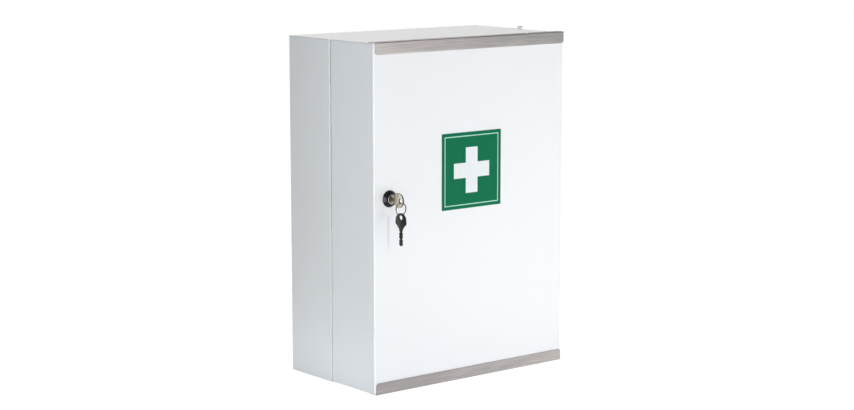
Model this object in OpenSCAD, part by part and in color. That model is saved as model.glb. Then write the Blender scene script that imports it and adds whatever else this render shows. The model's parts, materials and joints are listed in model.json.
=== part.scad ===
// Lockable wall cabinet for medicines: a folded steel body with shelves, a deep folded door on a
// piano hinge, and a cam lock with its key, split ring and spare key.
// Millimetres. X runs to the right, Y towards the wall and Z up. The origin is the centre of the four
// wall fixings, on the plane of the wall.

/* [Cabinet] */
// Outside width of the body and of the door
cabinet_w = 320; // [270:5:480]
// Outside height of the body
cabinet_h = 450; // [420:5:640]
// Depth of the body, from the wall to its front lip
body_d = 89; // [70:1:160]
// Depth of the door, from its rear lip to its painted front
door_d = 90.8; // [72:0.1:120]
// Gap between body and door, which holds both hinge leaves
seam_gap = 2.2; // [2.1:0.1:3.4]
// Thickness of the folded steel sheet
sheet_t = 1.2; // [0.8:0.1:1.4]
// Outside radius of the folds
bend_r = 1.5; // [1.5:0.1:2.5]
// Width of the lips round the open faces of body and door
lip_w = 12; // [11:0.5:16]
// Width of the flange that the back panel lies on
rear_flange_w = 10; // [6:0.5:16]
// Corner radius of the openings inside lips and flange
opening_r = 4; // [2:0.5:10]
// Depth of the collar that closes the seam from inside
collar_d = 4; // [3:0.1:4.5]
// Gap between the collar and what lies round it
collar_gap = 0.5; // [0.3:0.1:1.2]
// Thickness of the back panel
panel_t = 1.2; // [0.8:0.1:2]
// Gap round the edge of the back panel
panel_gap = 0.2; // [0.1:0.1:0.5]

/* [Wall fixings] */
// Radius of the four fixing holes in the back panel
wall_hole_r = 3.25; // [2:0.25:5]
// Distance between the fixing holes across the cabinet
wall_pitch_x = 220; // [120:5:240]
// Distance between the fixing holes up the cabinet
wall_pitch_z = 330; // [200:5:380]

/* [Shelves] */
// Height of the lower body shelf above the base
body_shelf_low = 150; // [110:5:190]
// Height of the upper body shelf above the base
body_shelf_high = 300; // [280:5:350]
// Depth of the body shelves
body_shelf_d = 83; // [50:1:84]
// Height of the lower door shelf above the base
door_shelf_low = 140; // [110:5:170]
// Height of the upper door shelf above the base
door_shelf_high = 300; // [290:5:350]
// Depth of the door shelves
door_shelf_d = 80; // [60:1:80]
// Thickness of the shelf sheet
shelf_t = 1; // [0.8:0.1:1.5]
// Height of the turned-up edge of a shelf
shelf_lip_h = 12; // [6:1:20]
// Height of the turned-down ends of a shelf
shelf_end_h = 12; // [8:1:14]
// Radius of the retaining rods in the door
rail_r = 2; // [1.5:0.25:3]
// Height of a retaining rod above its shelf
rail_h = 45; // [30:1:55]
// Distance from the door's rear lip to a rod
rail_gap = 1.6; // [0.5:0.1:3]

/* [Hinge] */
// Number of knuckles, an odd number
knuckle_n = 15; // [7:2:21]
// Radius of the hinge barrel
hinge_barrel_r = 3.9; // [3.4:0.1:5]
// Gap between the barrel and the side of the cabinet
hinge_side_gap = 0.3; // [0.3:0.1:1]
// Radius of the hinge pin
hinge_pin_r = 2.5; // [1.5:0.1:2.8]
// Thickness of a hinge leaf
leaf_t = 0.9; // [0.6:0.05:0.9]
// Width of the leaf on the lip
leaf_w = 10.5; // [8:0.5:10.5]
// Gap between neighbouring knuckles
knuckle_gap = 0.4; // [0.3:0.1:1]
// Height of the lowest knuckle above the base
hinge_foot = 5; // [3:0.5:15]
// Height of the domed head of the pin
pin_head_h = 3; // [1.5:0.1:3.4]
// Height of the lower head of the pin
pin_foot_h = 1.5; // [1:0.1:2.5]
// Number of rivets in each leaf
leaf_rivets = 6; // [3:1:10]

/* [Rivets] */
// Shank radius of the small rivets
rivet_r = 1.4; // [1:0.1:1.6]
// Head radius of the small rivets
rivet_head_r = 2.6; // [2:0.1:3]
// Head height of the small rivets
rivet_head_h = 1; // [0.6:0.1:1.4]

/* [Steel strips] */
// Thickness of the two stainless strips
strip_t = 1; // [0.6:0.1:1.4]
// Height of the front leg of a strip
strip_h = 15.5; // [12:0.5:24]
// Depth of the leg that lies on the door
strip_d = 15; // [12:0.5:26]
// Distance of the strip's left end from the door's left side
strip_end_gap = 1.3; // [0:0.1:4]
// Radius of the free corners of a strip
strip_corner_r = 4; // [1:0.5:5]
// Outside radius of the strip's fold
strip_bend_r = 1.3; // [1.1:0.1:1.4]
// Distance of the strip rivets from the door's sides
strip_rivet_in = 60; // [20:5:100]
// Distance of the strip rivets behind the front of the strip
strip_rivet_back = 8; // [5:0.5:9]

/* [Sign] */
// Side of the square sign
sign_w = 100; // [60:5:140]
// Thickness of the sign
sign_t = 0.5; // [0.5:0.1:2]
// Corner radius of the sign
sign_corner_r = 1; // [0.5:0.5:6]
// Height of the sign's centre above the base
sign_up = 278; // [260:1:300]
// Thickness of the white inlays
inlay_t = 0.25; // [0.1:0.05:0.4]
// Distance from the sign's edge to its border line
border_in = 4.4; // [2:0.2:8]
// Width of the border line
border_w = 1.3; // [0.6:0.1:3]
// Length of the arms of the cross, end to end
cross_l = 60; // [30:1:80]
// Width of the arms of the cross
cross_w = 20; // [8:1:28]

/* [Lock] */
// Distance of the lock's axis from the door's left side
lock_in = 24.5; // [23.5:0.5:30]
// Height of the lock's axis above the base
lock_up = 252.5; // [250:0.5:262]
// Radius of the rosette on the door
rosette_r = 11; // [9.5:0.5:14]
// Radius of the rosette at its front
rosette_face_r = 7.8; // [7:0.1:9]
// Depth of the rosette
rosette_h = 4.8; // [3:0.1:8]
// Radius of the threaded lock barrel
barrel_r = 5.6; // [5.2:0.1:6]
// Radius of the barrel's head
barrel_head_r = 6.1; // [6.1:0.1:6.8]
// Depth of the barrel's head
barrel_head_h = 1.2; // [0.6:0.1:2]
// Length of the barrel behind the painted front
barrel_in = 19.5; // [19.5:0.5:24]
// Radius of the turning plug
plug_r = 3.9; // [3.7:0.1:4.2]
// Distance that the plug stands out of the barrel's head
plug_proud = 0.2; // [0:0.1:0.6]
// Depth of the keyway
keyway_d = 19.7; // [19.7:0.1:20.5]
// Width across the flats of the lock nut
nut_w = 15; // [14:0.5:20]
// Thickness of the lock nut
nut_t = 4; // [2.5:0.5:6]
// Side of the plug's square stub
stub_w = 5; // [4:0.1:5.4]
// Thickness of the cam
cam_t = 2.5; // [1.5:0.1:2.8]
// Width of the cam's arm
cam_w = 12; // [9:0.5:13]
// Radius of the cam's hub
cam_hub_r = 8; // [7:0.5:8.5]
// Distance from the lock's axis to the cam's tip
cam_l = 18; // [16:0.5:19]
// Corner radius of the cam's tip
cam_corner_r = 2; // [1:0.5:3]
// Gap between the barrel and the cam
cam_gap = 0.3; // [0.2:0.1:0.6]
// Radius of the cam's washer
washer_r = 6; // [4.5:0.5:7]
// Thickness of the cam's washer
washer_t = 0.8; // [0.5:0.1:1.5]
// Shank radius of the cam's screw
screw_r = 1.5; // [1:0.1:1.8]
// Head radius of the cam's screw
screw_head_r = 3.2; // [2.6:0.1:4]
// Head height of the cam's screw
screw_head_h = 2; // [1.2:0.1:3]
// Length of the screw's thread in the plug
screw_l = 5; // [3.5:0.5:6]

/* [Keeper] */
// Thickness of the keeper bracket
keeper_t = 1.5; // [1:0.1:1.7]
// Gap between the keeper and the door's side as the door swings past
keeper_gap = 0.8; // [0.4:0.1:1.5]
// Gap round the cam in the keeper's window
window_gap = 1.5; // [0.8:0.1:2.5]
// Width of the bars round the keeper's window
keeper_bar = 4.5; // [3:0.5:6]
// Gap between the keeper and the notch in the door's lip
notch_gap = 3; // [1:0.5:5]

/* [Keys] */
// Thickness of a key
key_t = 2; // [1.4:0.1:2]
// Length of a key
key_l = 42; // [40:0.5:42]
// Width of a key's bow
bow_w = 19; // [18:0.1:20]
// Radius of the bow's round end
bow_r = 9.2; // [8.6:0.1:9.4]
// Radius of the bow's shoulders
bow_corner_r = 4; // [3:0.1:4.2]
// Width of a key's blade
blade_w = 5.2; // [4.8:0.1:6.6]
// Distance from the bow's end to the blade's shoulder
shoulder_in = 19.5; // [19:0.5:22]
// Width of the key at the shoulder
shoulder_w = 7; // [6.6:0.1:9]
// Radius of the hole in the bow
key_hole_r = 3.5; // [2.8:0.1:3.6]
// Distance from the bow's end to the centre of its hole
key_hole_in = 5.2; // [5:0.1:6]
// Distance that the key in the lock stands out of the door
key_out = 29; // [29:0.1:31]
// Side of the shallow cuts in both edges of the blade
bitting_shallow = 0.9; // [0.6:0.1:1.2]
// Side of the deep cuts in both edges of the blade
bitting_deep = 2; // [1.2:0.1:2.2]
// Radius of the split ring, to the middle of its wire
ring_r = 7.85; // [7.2:0.05:9]
// Radius of the ring's wire
ring_wire_r = 0.7; // [0.5:0.05:0.8]
// Turn of the spare key away from the first key
spare_turn = 4; // [0:1:20]

/* [Buffers] */
// Radius of the rubber buffers
buffer_r = 4; // [3:0.5:4.5]
// Gap between a buffer and the closed door
buffer_gap = 0.4; // [0.3:0.1:0.8]
// Height of the side buffers above and below the middle
buffer_up = 170; // [120:5:180]

/* [Clearances] */
// Radial running clearance of hinge pin and lock plug
run_clear = 0.05; // [0.02:0.01:0.1]
// Radial clearance of pieces that are fixed in a hole
fit_clear = 0.03; // [0.01:0.01:0.1]
// Clearance on each side of the key in its keyway
key_clear = 0.15; // [0.1:0.05:0.2]
// Gap between the ring's wire and the keys that hang on it
hang_gap = 0.3; // [0.2:0.05:0.5]

/* [Hidden] */
$fn = 64;
half_w = cabinet_w / 2;
half_h = cabinet_h / 2;
base_z = -half_h;
inner_w = cabinet_w - 2 * sheet_t;
cut = 1;
// Length of a cutter that passes right through a lip and what is riveted to it
through = 10;

// Body and door planes
body_front = -body_d;
door_rear = body_front - seam_gap;
door_front = door_rear - door_d;
door_lift = strip_t;
door_h = cabinet_h - door_lift;
door_mid = door_lift / 2;
panel_seat = -panel_t;
flange_face = panel_seat - sheet_t;

// Hinge
hinge_x = half_w + hinge_side_gap + hinge_barrel_r;
hinge_y = body_front - seam_gap / 2;
hinge_low = base_z + hinge_foot;
hinge_high = half_h;
knuckle_pitch = (hinge_high - hinge_low) / knuckle_n;
knuckle_h = knuckle_pitch - knuckle_gap;
leaf_right = half_w - hinge_side_gap;
leaf_left = leaf_right - leaf_w;
leaf_rivet_x = half_w - lip_w / 2;
leaf_rivet_pitch = (hinge_high - hinge_low) / leaf_rivets;

// Lock, cam and keeper; depths are counted inwards from the painted front
lock_x = lock_in - half_w;
lock_z = base_z + lock_up;
head_face = rosette_h + barrel_head_h;
plug_face = head_face + plug_proud;
cam_front = barrel_in + cam_gap;
cam_back = cam_front + cam_t;
cam_swing_r = sqrt(cam_l * cam_l + cam_w * cam_w / 4);
window_y0 = door_front + cam_front - window_gap;
window_y1 = door_front + cam_back + window_gap;
keeper_front = window_y0 - keeper_bar;
door_side_r = hinge_x + half_w - sheet_t;
keeper_reach = hinge_y - keeper_front;
keeper_left = hinge_x - sqrt(door_side_r * door_side_r - keeper_reach * keeper_reach) + keeper_gap;
keeper_right = keeper_left + keeper_t;
keeper_near = lock_x - keeper_right;
window_low = lock_z - sqrt(cam_swing_r * cam_swing_r - keeper_near * keeper_near) - window_gap;
window_high = lock_z + cam_w / 2 + window_gap;
keeper_low = window_low - keeper_bar;
keeper_high = window_high + keeper_bar;
foot_left = -half_w + sheet_t + keeper_gap;
collar_in = max(lip_w, half_w + keeper_right) + collar_gap;
keeper_rivet_x = (foot_left + keeper_left) / 2;
keeper_rivet_zs = [keeper_low + keeper_bar + rivet_head_r, keeper_high - keeper_bar - rivet_head_r];

// Keys
key_hole_y = door_front - key_out + key_hole_in;
wire_drop = key_hole_r - ring_wire_r - hang_gap;
ring_z = lock_z - wire_drop - ring_r;
spare_hole_z = ring_z - ring_r - wire_drop;
bitting_n = 4;

// ---- Shared shapes ----

// A rectangle with round corners, centred
module rounded_rect(w, h, r) {
    square([w - 2 * r, h], center = true);
    square([w, h - 2 * r], center = true);
    for (x = [-1, 1], y = [-1, 1])
        translate([x * (w / 2 - r), y * (h / 2 - r)]) circle(r);
}

// A block centred on X and Z, between two depths
module depth_block(w, h, y_front, y_back) {
    translate([-w / 2, y_front, -h / 2]) cube([w, y_back - y_front, h]);
}

// A prism with round corners, centred on X and Z, between two depths
module depth_prism(w, h, r, y_front, y_back) {
    translate([0, y_back, 0]) rotate([90, 0, 0]) linear_extrude(y_back - y_front) rounded_rect(w, h, r);
}

// A folded box from y = -d to 0. Its front edges and its long edges are round, and its rear edges too
// if rear_round is true
module folded_box(w, d, h, r, rear_round) {
    over = rear_round ? 0 : 2 * r;
    intersection() {
        depth_prism(w, h, r, -d, 0);
        translate([0, (over - d) / 2, 0])
            linear_extrude(h + 2 * cut, center = true) rounded_rect(w, d + over, r);
        translate([0, (over - d) / 2, 0]) rotate([90, 0, 90])
            linear_extrude(w + 2 * cut, center = true) rounded_rect(d + over, h, r);
    }
}

// A domed head with its flat side at z = 0
module dome(r, h) {
    ball_r = (r * r + h * h) / (2 * h);
    intersection() {
        translate([0, 0, h - ball_r]) sphere(ball_r);
        cylinder(r = r + cut, h = h + cut);
    }
}

// A rivet along Z: its shank ends at z = 0 and its domed head stands on z = grip
module rivet(grip, head_r, head_h) {
    cylinder(r = rivet_r, h = grip);
    translate([0, 0, grip]) dome(head_r, head_h);
}

// A hole along Y through a lip at the given place
module rivet_hole_y(x, y, z) {
    translate([x, y, z]) rotate([90, 0, 0])
        cylinder(r = rivet_r + fit_clear, h = through, center = true);
}

// Places its children on the lock's axis: local z runs out of the door, and local y is up
module at_lock() {
    translate([lock_x, door_front, lock_z]) rotate([90, 0, 0]) children();
}

// ---- Body ----

// The folded body. Its front lip turns forward again as a collar, which reaches into the door
module body_shell() {
    collar_w = cabinet_w - 2 * collar_in;
    collar_h = cabinet_h - 2 * collar_in;
    color("WhiteSmoke") difference() {
        union() {
            folded_box(cabinet_w, body_d, cabinet_h, bend_r, false);
            depth_prism(collar_w, collar_h, opening_r, body_front - collar_d, body_front + sheet_t / 2);
        }
        depth_block(inner_w, cabinet_h - 2 * sheet_t, body_front + sheet_t, flange_face);
        depth_block(inner_w, cabinet_h - 2 * sheet_t, panel_seat, cut);
        depth_prism(collar_w - 2 * sheet_t, collar_h - 2 * sheet_t, opening_r - sheet_t,
            body_front - collar_d - cut, body_front + sheet_t + cut);
        depth_prism(inner_w - 2 * rear_flange_w, cabinet_h - 2 * sheet_t - 2 * rear_flange_w, opening_r,
            flange_face - cut, cut);
        leaf_rivet_holes();
        for (z = keeper_rivet_zs) rivet_hole_y(keeper_rivet_x, body_front, z);
    }
}

module back_panel() {
    color("WhiteSmoke") difference() {
        depth_block(inner_w - 2 * panel_gap, cabinet_h - 2 * sheet_t - 2 * panel_gap, panel_seat, 0);
        for (x = [-1, 1], z = [-1, 1])
            translate([x * wall_pitch_x / 2, cut, z * wall_pitch_z / 2]) rotate([90, 0, 0])
                cylinder(r = wall_hole_r, h = panel_t + 2 * cut);
    }
}

// A shelf of folded sheet whose surface is at z = 0. It runs from y_front to y_back, its ends turn
// down against the side walls, and its free edge, at y_front or y_back, turns up
module shelf(y_front, y_back, lip_at_front) {
    lip_y = lip_at_front ? y_front : y_back - shelf_t;
    color("WhiteSmoke") {
        translate([-inner_w / 2, y_front, -shelf_t]) cube([inner_w, y_back - y_front, shelf_t]);
        translate([-inner_w / 2 + shelf_t, lip_y, -shelf_t])
            cube([inner_w - 2 * shelf_t, shelf_t, shelf_t + shelf_lip_h]);
        for (x = [-inner_w / 2, inner_w / 2 - shelf_t])
            translate([x, y_front, -shelf_end_h]) cube([shelf_t, y_back - y_front, shelf_end_h]);
    }
}

module body_shelf(up) {
    translate([0, 0, base_z + up]) shelf(flange_face - body_shelf_d, flange_face, true);
}

module body_shelf_lower() {
    body_shelf(body_shelf_low);
}

module body_shelf_upper() {
    body_shelf(body_shelf_high);
}

// The keeper: a foot on the body's left lip and a tongue that reaches into the door, with a window
// that the cam turns into
module keeper() {
    color("LightSteelBlue") difference() {
        union() {
            translate([foot_left, body_front - keeper_t, keeper_low])
                cube([keeper_right - foot_left, keeper_t, keeper_high - keeper_low]);
            translate([keeper_left, keeper_front, keeper_low])
                cube([keeper_t, body_front - keeper_front, keeper_high - keeper_low]);
        }
        translate([keeper_left - cut, window_y0, window_low])
            cube([keeper_t + 2 * cut, window_y1 - window_y0, window_high - window_low]);
        for (z = keeper_rivet_zs) rivet_hole_y(keeper_rivet_x, body_front, z);
    }
}

module keeper_rivets() {
    color("Silver") for (z = keeper_rivet_zs)
        translate([keeper_rivet_x, body_front + sheet_t, z]) rotate([90, 0, 0]) {
            rivet(sheet_t + keeper_t, rivet_head_r, rivet_head_h);
            mirror([0, 0, 1]) dome(rivet_head_r, rivet_head_h);
        }
}

// A buffer on the front lip of the body
module buffer(x, z) {
    translate([x, body_front, z]) rotate([90, 0, 0]) cylinder(r = buffer_r, h = seam_gap - buffer_gap);
}

module buffers() {
    color("DimGray") {
        for (z = [-buffer_up, buffer_up]) buffer(-half_w + lip_w / 2, z);
        for (z = [-half_h + lip_w / 2, half_h - lip_w / 2]) buffer(0, z);
    }
}

// ---- Hinge ----

module leaf_rivet_places() {
    for (i = [0 : leaf_rivets - 1])
        translate([leaf_rivet_x, 0, hinge_low + (i + 0.5) * leaf_rivet_pitch]) children();
}

module leaf_rivet_holes() {
    leaf_rivet_places() rivet_hole_y(0, hinge_y, 0);
}

// One leaf with every second knuckle, from knuckle number first
module hinge_leaf(y_low, first, bore_clear) {
    color("Silver") difference() {
        union() {
            translate([leaf_left, y_low, hinge_low])
                cube([leaf_right - leaf_left, leaf_t, hinge_high - hinge_low]);
            for (i = [first : 2 : knuckle_n - 1])
                translate([0, 0, hinge_low + i * knuckle_pitch + knuckle_gap / 2]) {
                    translate([leaf_left, y_low, 0]) cube([hinge_x - leaf_left, leaf_t, knuckle_h]);
                    translate([hinge_x, hinge_y, 0]) cylinder(r = hinge_barrel_r, h = knuckle_h);
                }
        }
        translate([hinge_x, hinge_y, hinge_low - cut])
            cylinder(r = hinge_pin_r + bore_clear, h = hinge_high - hinge_low + 2 * cut);
        leaf_rivet_holes();
    }
}

module hinge_leaf_body() {
    hinge_leaf(body_front - leaf_t, 0, fit_clear);
}

module hinge_leaf_door() {
    hinge_leaf(door_rear, 1, run_clear);
}

// Flush rivets with their heads on the inside of the lip
module hinge_rivets_body() {
    color("Silver") leaf_rivet_places()
        translate([0, body_front - leaf_t, 0]) rotate([-90, 0, 0])
            rivet(leaf_t + sheet_t, rivet_head_r, rivet_head_h);
}

module hinge_rivets_door() {
    color("Silver") leaf_rivet_places()
        translate([0, door_rear + leaf_t, 0]) rotate([90, 0, 0])
            rivet(leaf_t + sheet_t, rivet_head_r, rivet_head_h);
}

module hinge_pin() {
    pin_low = hinge_low + knuckle_gap / 2;
    pin_high = hinge_high - knuckle_gap / 2;
    color("Silver") translate([hinge_x, hinge_y, 0]) {
        translate([0, 0, pin_low - pin_foot_h])
            cylinder(r = hinge_pin_r, h = pin_high - pin_low + pin_foot_h);
        translate([0, 0, pin_high]) dome(hinge_barrel_r, pin_head_h);
        translate([0, 0, pin_low - pin_foot_h])
            cylinder(r = (hinge_pin_r + hinge_barrel_r) / 2, h = pin_foot_h);
    }
}

// ---- Door ----

module door_shell() {
    color("WhiteSmoke") difference() {
        translate([0, 0, door_mid]) difference() {
            translate([0, door_rear, 0]) folded_box(cabinet_w, door_d, door_h, bend_r, true);
            depth_block(inner_w, door_h - 2 * sheet_t, door_front + sheet_t, door_rear - sheet_t);
            depth_prism(cabinet_w - 2 * lip_w, door_h - 2 * lip_w, opening_r,
                door_rear - sheet_t - cut, door_rear + cut);
        }
        translate([-inner_w / 2, door_rear - sheet_t - cut, keeper_low - notch_gap])
            cube([lip_w, sheet_t + 2 * cut, keeper_high - keeper_low + 2 * notch_gap]);
        leaf_rivet_holes();
        strip_rivet_holes();
        at_lock() translate([0, 0, -sheet_t - cut])
            cylinder(r = barrel_r + fit_clear, h = sheet_t + 2 * cut);
    }
}

module door_shelf(up) {
    shelf_front = door_front + sheet_t;
    translate([0, 0, base_z + up]) shelf(shelf_front, shelf_front + door_shelf_d, false);
}

module door_shelf_lower() {
    door_shelf(door_shelf_low);
}

module door_shelf_upper() {
    door_shelf(door_shelf_high);
}

// A rod across the door, above the shelf at the given height
module rail(up) {
    color("Silver") translate([-inner_w / 2, door_rear - sheet_t - rail_gap - rail_r, base_z + up + rail_h])
        rotate([0, 90, 0]) cylinder(r = rail_r, h = inner_w);
}

module rail_lower() {
    rail(door_lift + sheet_t);
}

module rail_middle() {
    rail(door_shelf_low);
}

module rail_upper() {
    rail(door_shelf_high);
}

// Turns its children from the top of the door to the bottom
module at_bottom() {
    translate([0, 0, 2 * door_mid]) mirror([0, 0, 1]) children();
}

module strip_rivet_places() {
    for (x = [-1, 1])
        translate([x * (half_w - strip_rivet_in), door_front - strip_t + strip_rivet_back, half_h])
            children();
}

module strip_rivet_hole() {
    cylinder(r = rivet_r + fit_clear, h = through, center = true);
}

module strip_rivet_holes() {
    strip_rivet_places() strip_rivet_hole();
    at_bottom() strip_rivet_places() strip_rivet_hole();
}

// The section of a strip, with its fold at the origin: x runs back over the door, y runs down its front
module strip_section() {
    difference() {
        union() {
            translate([strip_bend_r, 0]) square([strip_d - strip_bend_r, strip_h]);
            translate([0, strip_bend_r]) square([strip_d, strip_h - strip_bend_r]);
            translate([strip_bend_r, strip_bend_r]) circle(strip_bend_r);
        }
        translate([strip_t, strip_t]) square([strip_d, strip_h]);
    }
}

// A strip on the top edge of the door
module strip() {
    strip_left = -half_w + strip_end_gap;
    strip_l = half_w - strip_left;
    color("Silver") difference() {
        intersection() {
            translate([strip_left, door_front - strip_t, half_h + strip_t])
                rotate([90, 0, 90]) mirror([0, 1]) linear_extrude(strip_l) strip_section();
            // Rounds the free corners of the front leg
            translate([strip_left + strip_l / 2, door_front + strip_d, half_h + strip_t])
                rotate([90, 0, 0]) linear_extrude(2 * strip_d)
                    rounded_rect(strip_l, 2 * strip_h, strip_corner_r);
        }
        strip_rivet_places() strip_rivet_hole();
    }
}

module strip_top() {
    strip();
}

module strip_bottom() {
    at_bottom() strip();
}

// Rivets through strip and door, with heads on both sides
module strip_rivets_top() {
    color("Gainsboro") strip_rivet_places() {
        translate([0, 0, -sheet_t]) rivet(sheet_t + strip_t, rivet_head_r, rivet_head_h);
        translate([0, 0, -sheet_t]) mirror([0, 0, 1]) dome(rivet_head_r, rivet_head_h);
    }
}

// Rivets that are flush under the strip, so that the cabinet can stand on it
module strip_rivets_bottom() {
    color("Gainsboro") at_bottom() strip_rivet_places()
        translate([0, 0, strip_t]) mirror([0, 0, 1]) rivet(sheet_t + strip_t, rivet_head_r, rivet_head_h);
}

// ---- Sign ----

// Places a flat shape on the door, centred on the sign, between two heights over the painted front
module on_sign(low, high) {
    translate([0, door_front - low, base_z + sign_up])
        rotate([90, 0, 0]) linear_extrude(high - low) children();
}

module border_outline() {
    difference() {
        square(sign_w - 2 * border_in, center = true);
        square(sign_w - 2 * border_in - 2 * border_w, center = true);
    }
}

module cross_outline() {
    square([cross_l, cross_w], center = true);
    square([cross_w, cross_l], center = true);
}

module sign_panel() {
    color("SeaGreen") difference() {
        on_sign(0, sign_t) rounded_rect(sign_w, sign_w, sign_corner_r);
        on_sign(sign_t - inlay_t, sign_t + cut) border_outline();
        on_sign(sign_t - inlay_t, sign_t + cut) cross_outline();
    }
}

module sign_border() {
    color("White") on_sign(sign_t - inlay_t, sign_t) border_outline();
}

module sign_cross() {
    color("White") on_sign(sign_t - inlay_t, sign_t) cross_outline();
}

// ---- Lock ----

module lock_rosette() {
    color("DimGray") at_lock() difference() {
        cylinder(r1 = rosette_r, r2 = rosette_face_r, h = rosette_h);
        translate([0, 0, -cut]) cylinder(r = barrel_r + fit_clear, h = rosette_h + 2 * cut);
    }
}

module lock_barrel() {
    color("Silver") at_lock() difference() {
        union() {
            translate([0, 0, -barrel_in]) cylinder(r = barrel_r, h = barrel_in + rosette_h);
            translate([0, 0, rosette_h]) cylinder(r = barrel_head_r, h = barrel_head_h);
        }
        translate([0, 0, -barrel_in - cut])
            cylinder(r = plug_r + run_clear, h = barrel_in + head_face + 2 * cut);
    }
}

module lock_nut() {
    color("Silver") at_lock() translate([0, 0, -sheet_t - nut_t]) difference() {
        cylinder(r = nut_w / sqrt(3), h = nut_t, $fn = 6);
        translate([0, 0, -cut]) cylinder(r = barrel_r + fit_clear, h = nut_t + 2 * cut);
    }
}

module lock_plug() {
    color("Gainsboro") at_lock() difference() {
        union() {
            translate([0, 0, -cam_front]) cylinder(r = plug_r, h = cam_front + plug_face);
            translate([-stub_w / 2, -stub_w / 2, -cam_back]) cube([stub_w, stub_w, cam_t + cut]);
        }
        translate([-key_t / 2 - key_clear, -blade_w / 2 - key_clear, plug_face - keyway_d])
            cube([key_t + 2 * key_clear, blade_w + 2 * key_clear, keyway_d + cut]);
        translate([0, 0, -cam_back - cut]) cylinder(r = screw_r + fit_clear, h = screw_l + 2 * cut);
    }
}

// The cam, which points down while the door is unlocked
module cam() {
    color("Silver") at_lock() translate([0, 0, -cam_back]) linear_extrude(cam_t) difference() {
        union() {
            circle(cam_hub_r);
            translate([0, -cam_l / 2]) rounded_rect(cam_w, cam_l, cam_corner_r);
        }
        square(stub_w + 2 * fit_clear, center = true);
    }
}

module cam_washer() {
    color("Silver") at_lock() translate([0, 0, -cam_back - washer_t]) difference() {
        cylinder(r = washer_r, h = washer_t);
        translate([0, 0, -cut]) cylinder(r = screw_r + fit_clear, h = washer_t + 2 * cut);
    }
}

module cam_screw() {
    color("Silver") at_lock() translate([0, 0, -cam_back - washer_t]) {
        cylinder(r = screw_r, h = washer_t + screw_l);
        mirror([0, 0, 1]) dome(screw_head_r, screw_head_h);
    }
}

// ---- Keys ----

// A flat piece of a key, as thick as the key and centred on its middle plane
module key_sheet(extra) {
    linear_extrude(key_t + extra, center = true) children();
}

// A key in the XY plane: its bow ends at y = 0 and its tip lies at y = -key_l
module key_plate() {
    broad_h = 2 * bow_corner_r + cut;
    broad_y = -bow_r - broad_h / 4;
    taper_w = bow_w - bow_corner_r;
    taper_y = broad_y - broad_h / 2 + bow_corner_r / 4;
    tip_y = blade_w / 2 - key_l;
    tip_w = blade_w / 4;
    bitting_pitch = (key_l - shoulder_in) / (bitting_n + 1);
    difference() {
        union() {
            key_sheet(0) translate([0, -bow_r]) circle(bow_r);
            key_sheet(0) translate([0, broad_y]) rounded_rect(bow_w, broad_h, bow_corner_r);
            key_sheet(0) polygon([[-taper_w / 2, taper_y], [taper_w / 2, taper_y],
                [shoulder_w / 2, -shoulder_in], [-shoulder_w / 2, -shoulder_in]]);
            key_sheet(0) polygon([[-blade_w / 2, -bow_r], [blade_w / 2, -bow_r], [blade_w / 2, tip_y],
                [tip_w / 2, -key_l], [-tip_w / 2, -key_l], [-blade_w / 2, tip_y]]);
        }
        key_sheet(cut) translate([0, -key_hole_in]) circle(key_hole_r);
        for (i = [1 : bitting_n], side = [-1, 1])
            translate([side * blade_w / 2, -shoulder_in - i * bitting_pitch, 0]) rotate(45)
                key_sheet(cut) square(i % 2 == 0 ? bitting_shallow : bitting_deep, center = true);
    }
}

module key() {
    color("Tan") translate([lock_x, door_front - key_out, lock_z]) rotate([180, -90, 0]) key_plate();
}

module key_ring() {
    color("Silver") translate([lock_x, key_hole_y, ring_z]) rotate([90, 0, 0])
        rotate_extrude() translate([ring_r, 0]) circle(ring_wire_r);
}

module spare_key() {
    color("DarkSlateGray") translate([lock_x, key_hole_y, spare_hole_z + key_hole_in])
        rotate([90, 0, spare_turn - 90]) key_plate();
}

body_shell();
back_panel();
body_shelf_lower();
body_shelf_upper();
keeper();
keeper_rivets();
buffers();
hinge_leaf_body();
hinge_rivets_body();
hinge_pin();
door_shell();
door_shelf_lower();
door_shelf_upper();
rail_lower();
rail_middle();
rail_upper();
hinge_leaf_door();
hinge_rivets_door();
strip_top();
strip_bottom();
strip_rivets_top();
strip_rivets_bottom();
sign_panel();
sign_border();
sign_cross();
lock_rosette();
lock_barrel();
lock_nut();
lock_plug();
cam();
cam_washer();
cam_screw();
key();
key_ring();
spare_key();
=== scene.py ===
"""A lockable medicine cabinet in a plain white studio: its finishes and its fine pieces, round the
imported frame. Metres and radians. X runs to the right, Y towards the wall and Z up."""
import json
import math
import bmesh
import bpy
from mathutils import Matrix, Vector


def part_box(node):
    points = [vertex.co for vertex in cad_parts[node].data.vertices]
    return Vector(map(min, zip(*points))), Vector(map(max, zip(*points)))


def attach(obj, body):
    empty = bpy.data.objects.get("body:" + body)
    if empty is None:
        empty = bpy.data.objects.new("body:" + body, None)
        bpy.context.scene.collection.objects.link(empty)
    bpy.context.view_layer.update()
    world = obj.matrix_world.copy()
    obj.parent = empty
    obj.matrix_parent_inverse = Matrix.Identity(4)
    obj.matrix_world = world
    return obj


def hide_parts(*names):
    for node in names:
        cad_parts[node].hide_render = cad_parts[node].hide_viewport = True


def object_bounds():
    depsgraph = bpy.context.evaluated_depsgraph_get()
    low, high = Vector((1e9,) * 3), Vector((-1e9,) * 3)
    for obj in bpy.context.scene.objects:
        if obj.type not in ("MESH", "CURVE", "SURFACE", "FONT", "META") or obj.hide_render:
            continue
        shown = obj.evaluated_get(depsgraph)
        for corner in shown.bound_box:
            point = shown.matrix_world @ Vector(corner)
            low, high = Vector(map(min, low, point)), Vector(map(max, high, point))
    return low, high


MM = 0.001

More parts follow.
